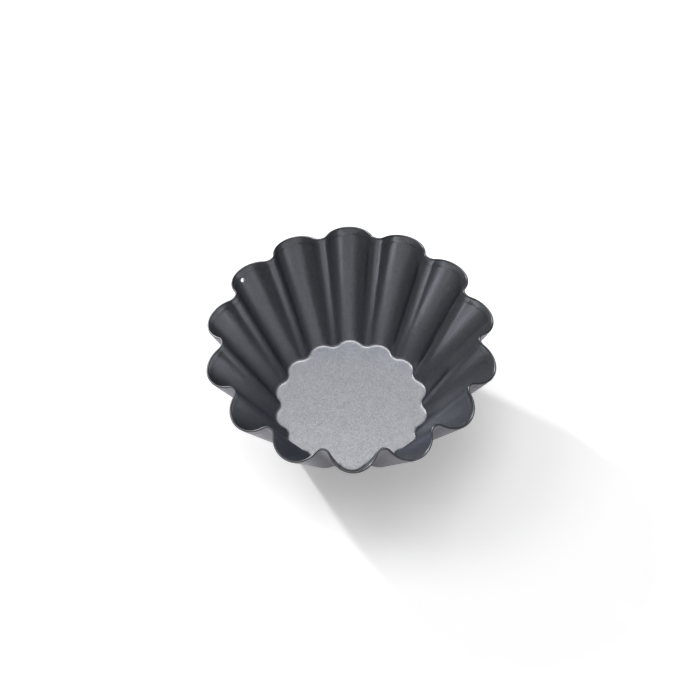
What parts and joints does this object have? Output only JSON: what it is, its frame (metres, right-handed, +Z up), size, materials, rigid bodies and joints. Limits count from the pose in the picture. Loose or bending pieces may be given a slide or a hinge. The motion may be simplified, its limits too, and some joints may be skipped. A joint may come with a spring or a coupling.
{
  "type": "fluted tart tin",
  "caption": "Small round fluted tart tin with a flat floor, a flared scalloped wall, hanging holes below the rim and a dark non-stick coating, for baking a single-serve tart or bun.",
  "frame": {"origin": "centre of the flat underside, at the level of the surface that the tin stands on", "axes": "+Z up along the axis of the flutes; +X through the crest of a flute that has a hanging hole"},
  "size_m": [0.08, 0.0782, 0.0337],
  "materials": {
    "drawn_steel": "bare drawn sheet steel, seen only inside the hanging holes",
    "nonstick_film": "dark grey non-stick film with fine metallic flakes, semi-gloss",
    "outer_film": "dark grey protective film with fine metallic flakes, satin"
  },
  "bodies": {
    "root": {"steel_shell": "drawn_steel", "inner_nonstick_coating": "nonstick_film", "outer_coating": "outer_film"}
  },
  "joints": []
}
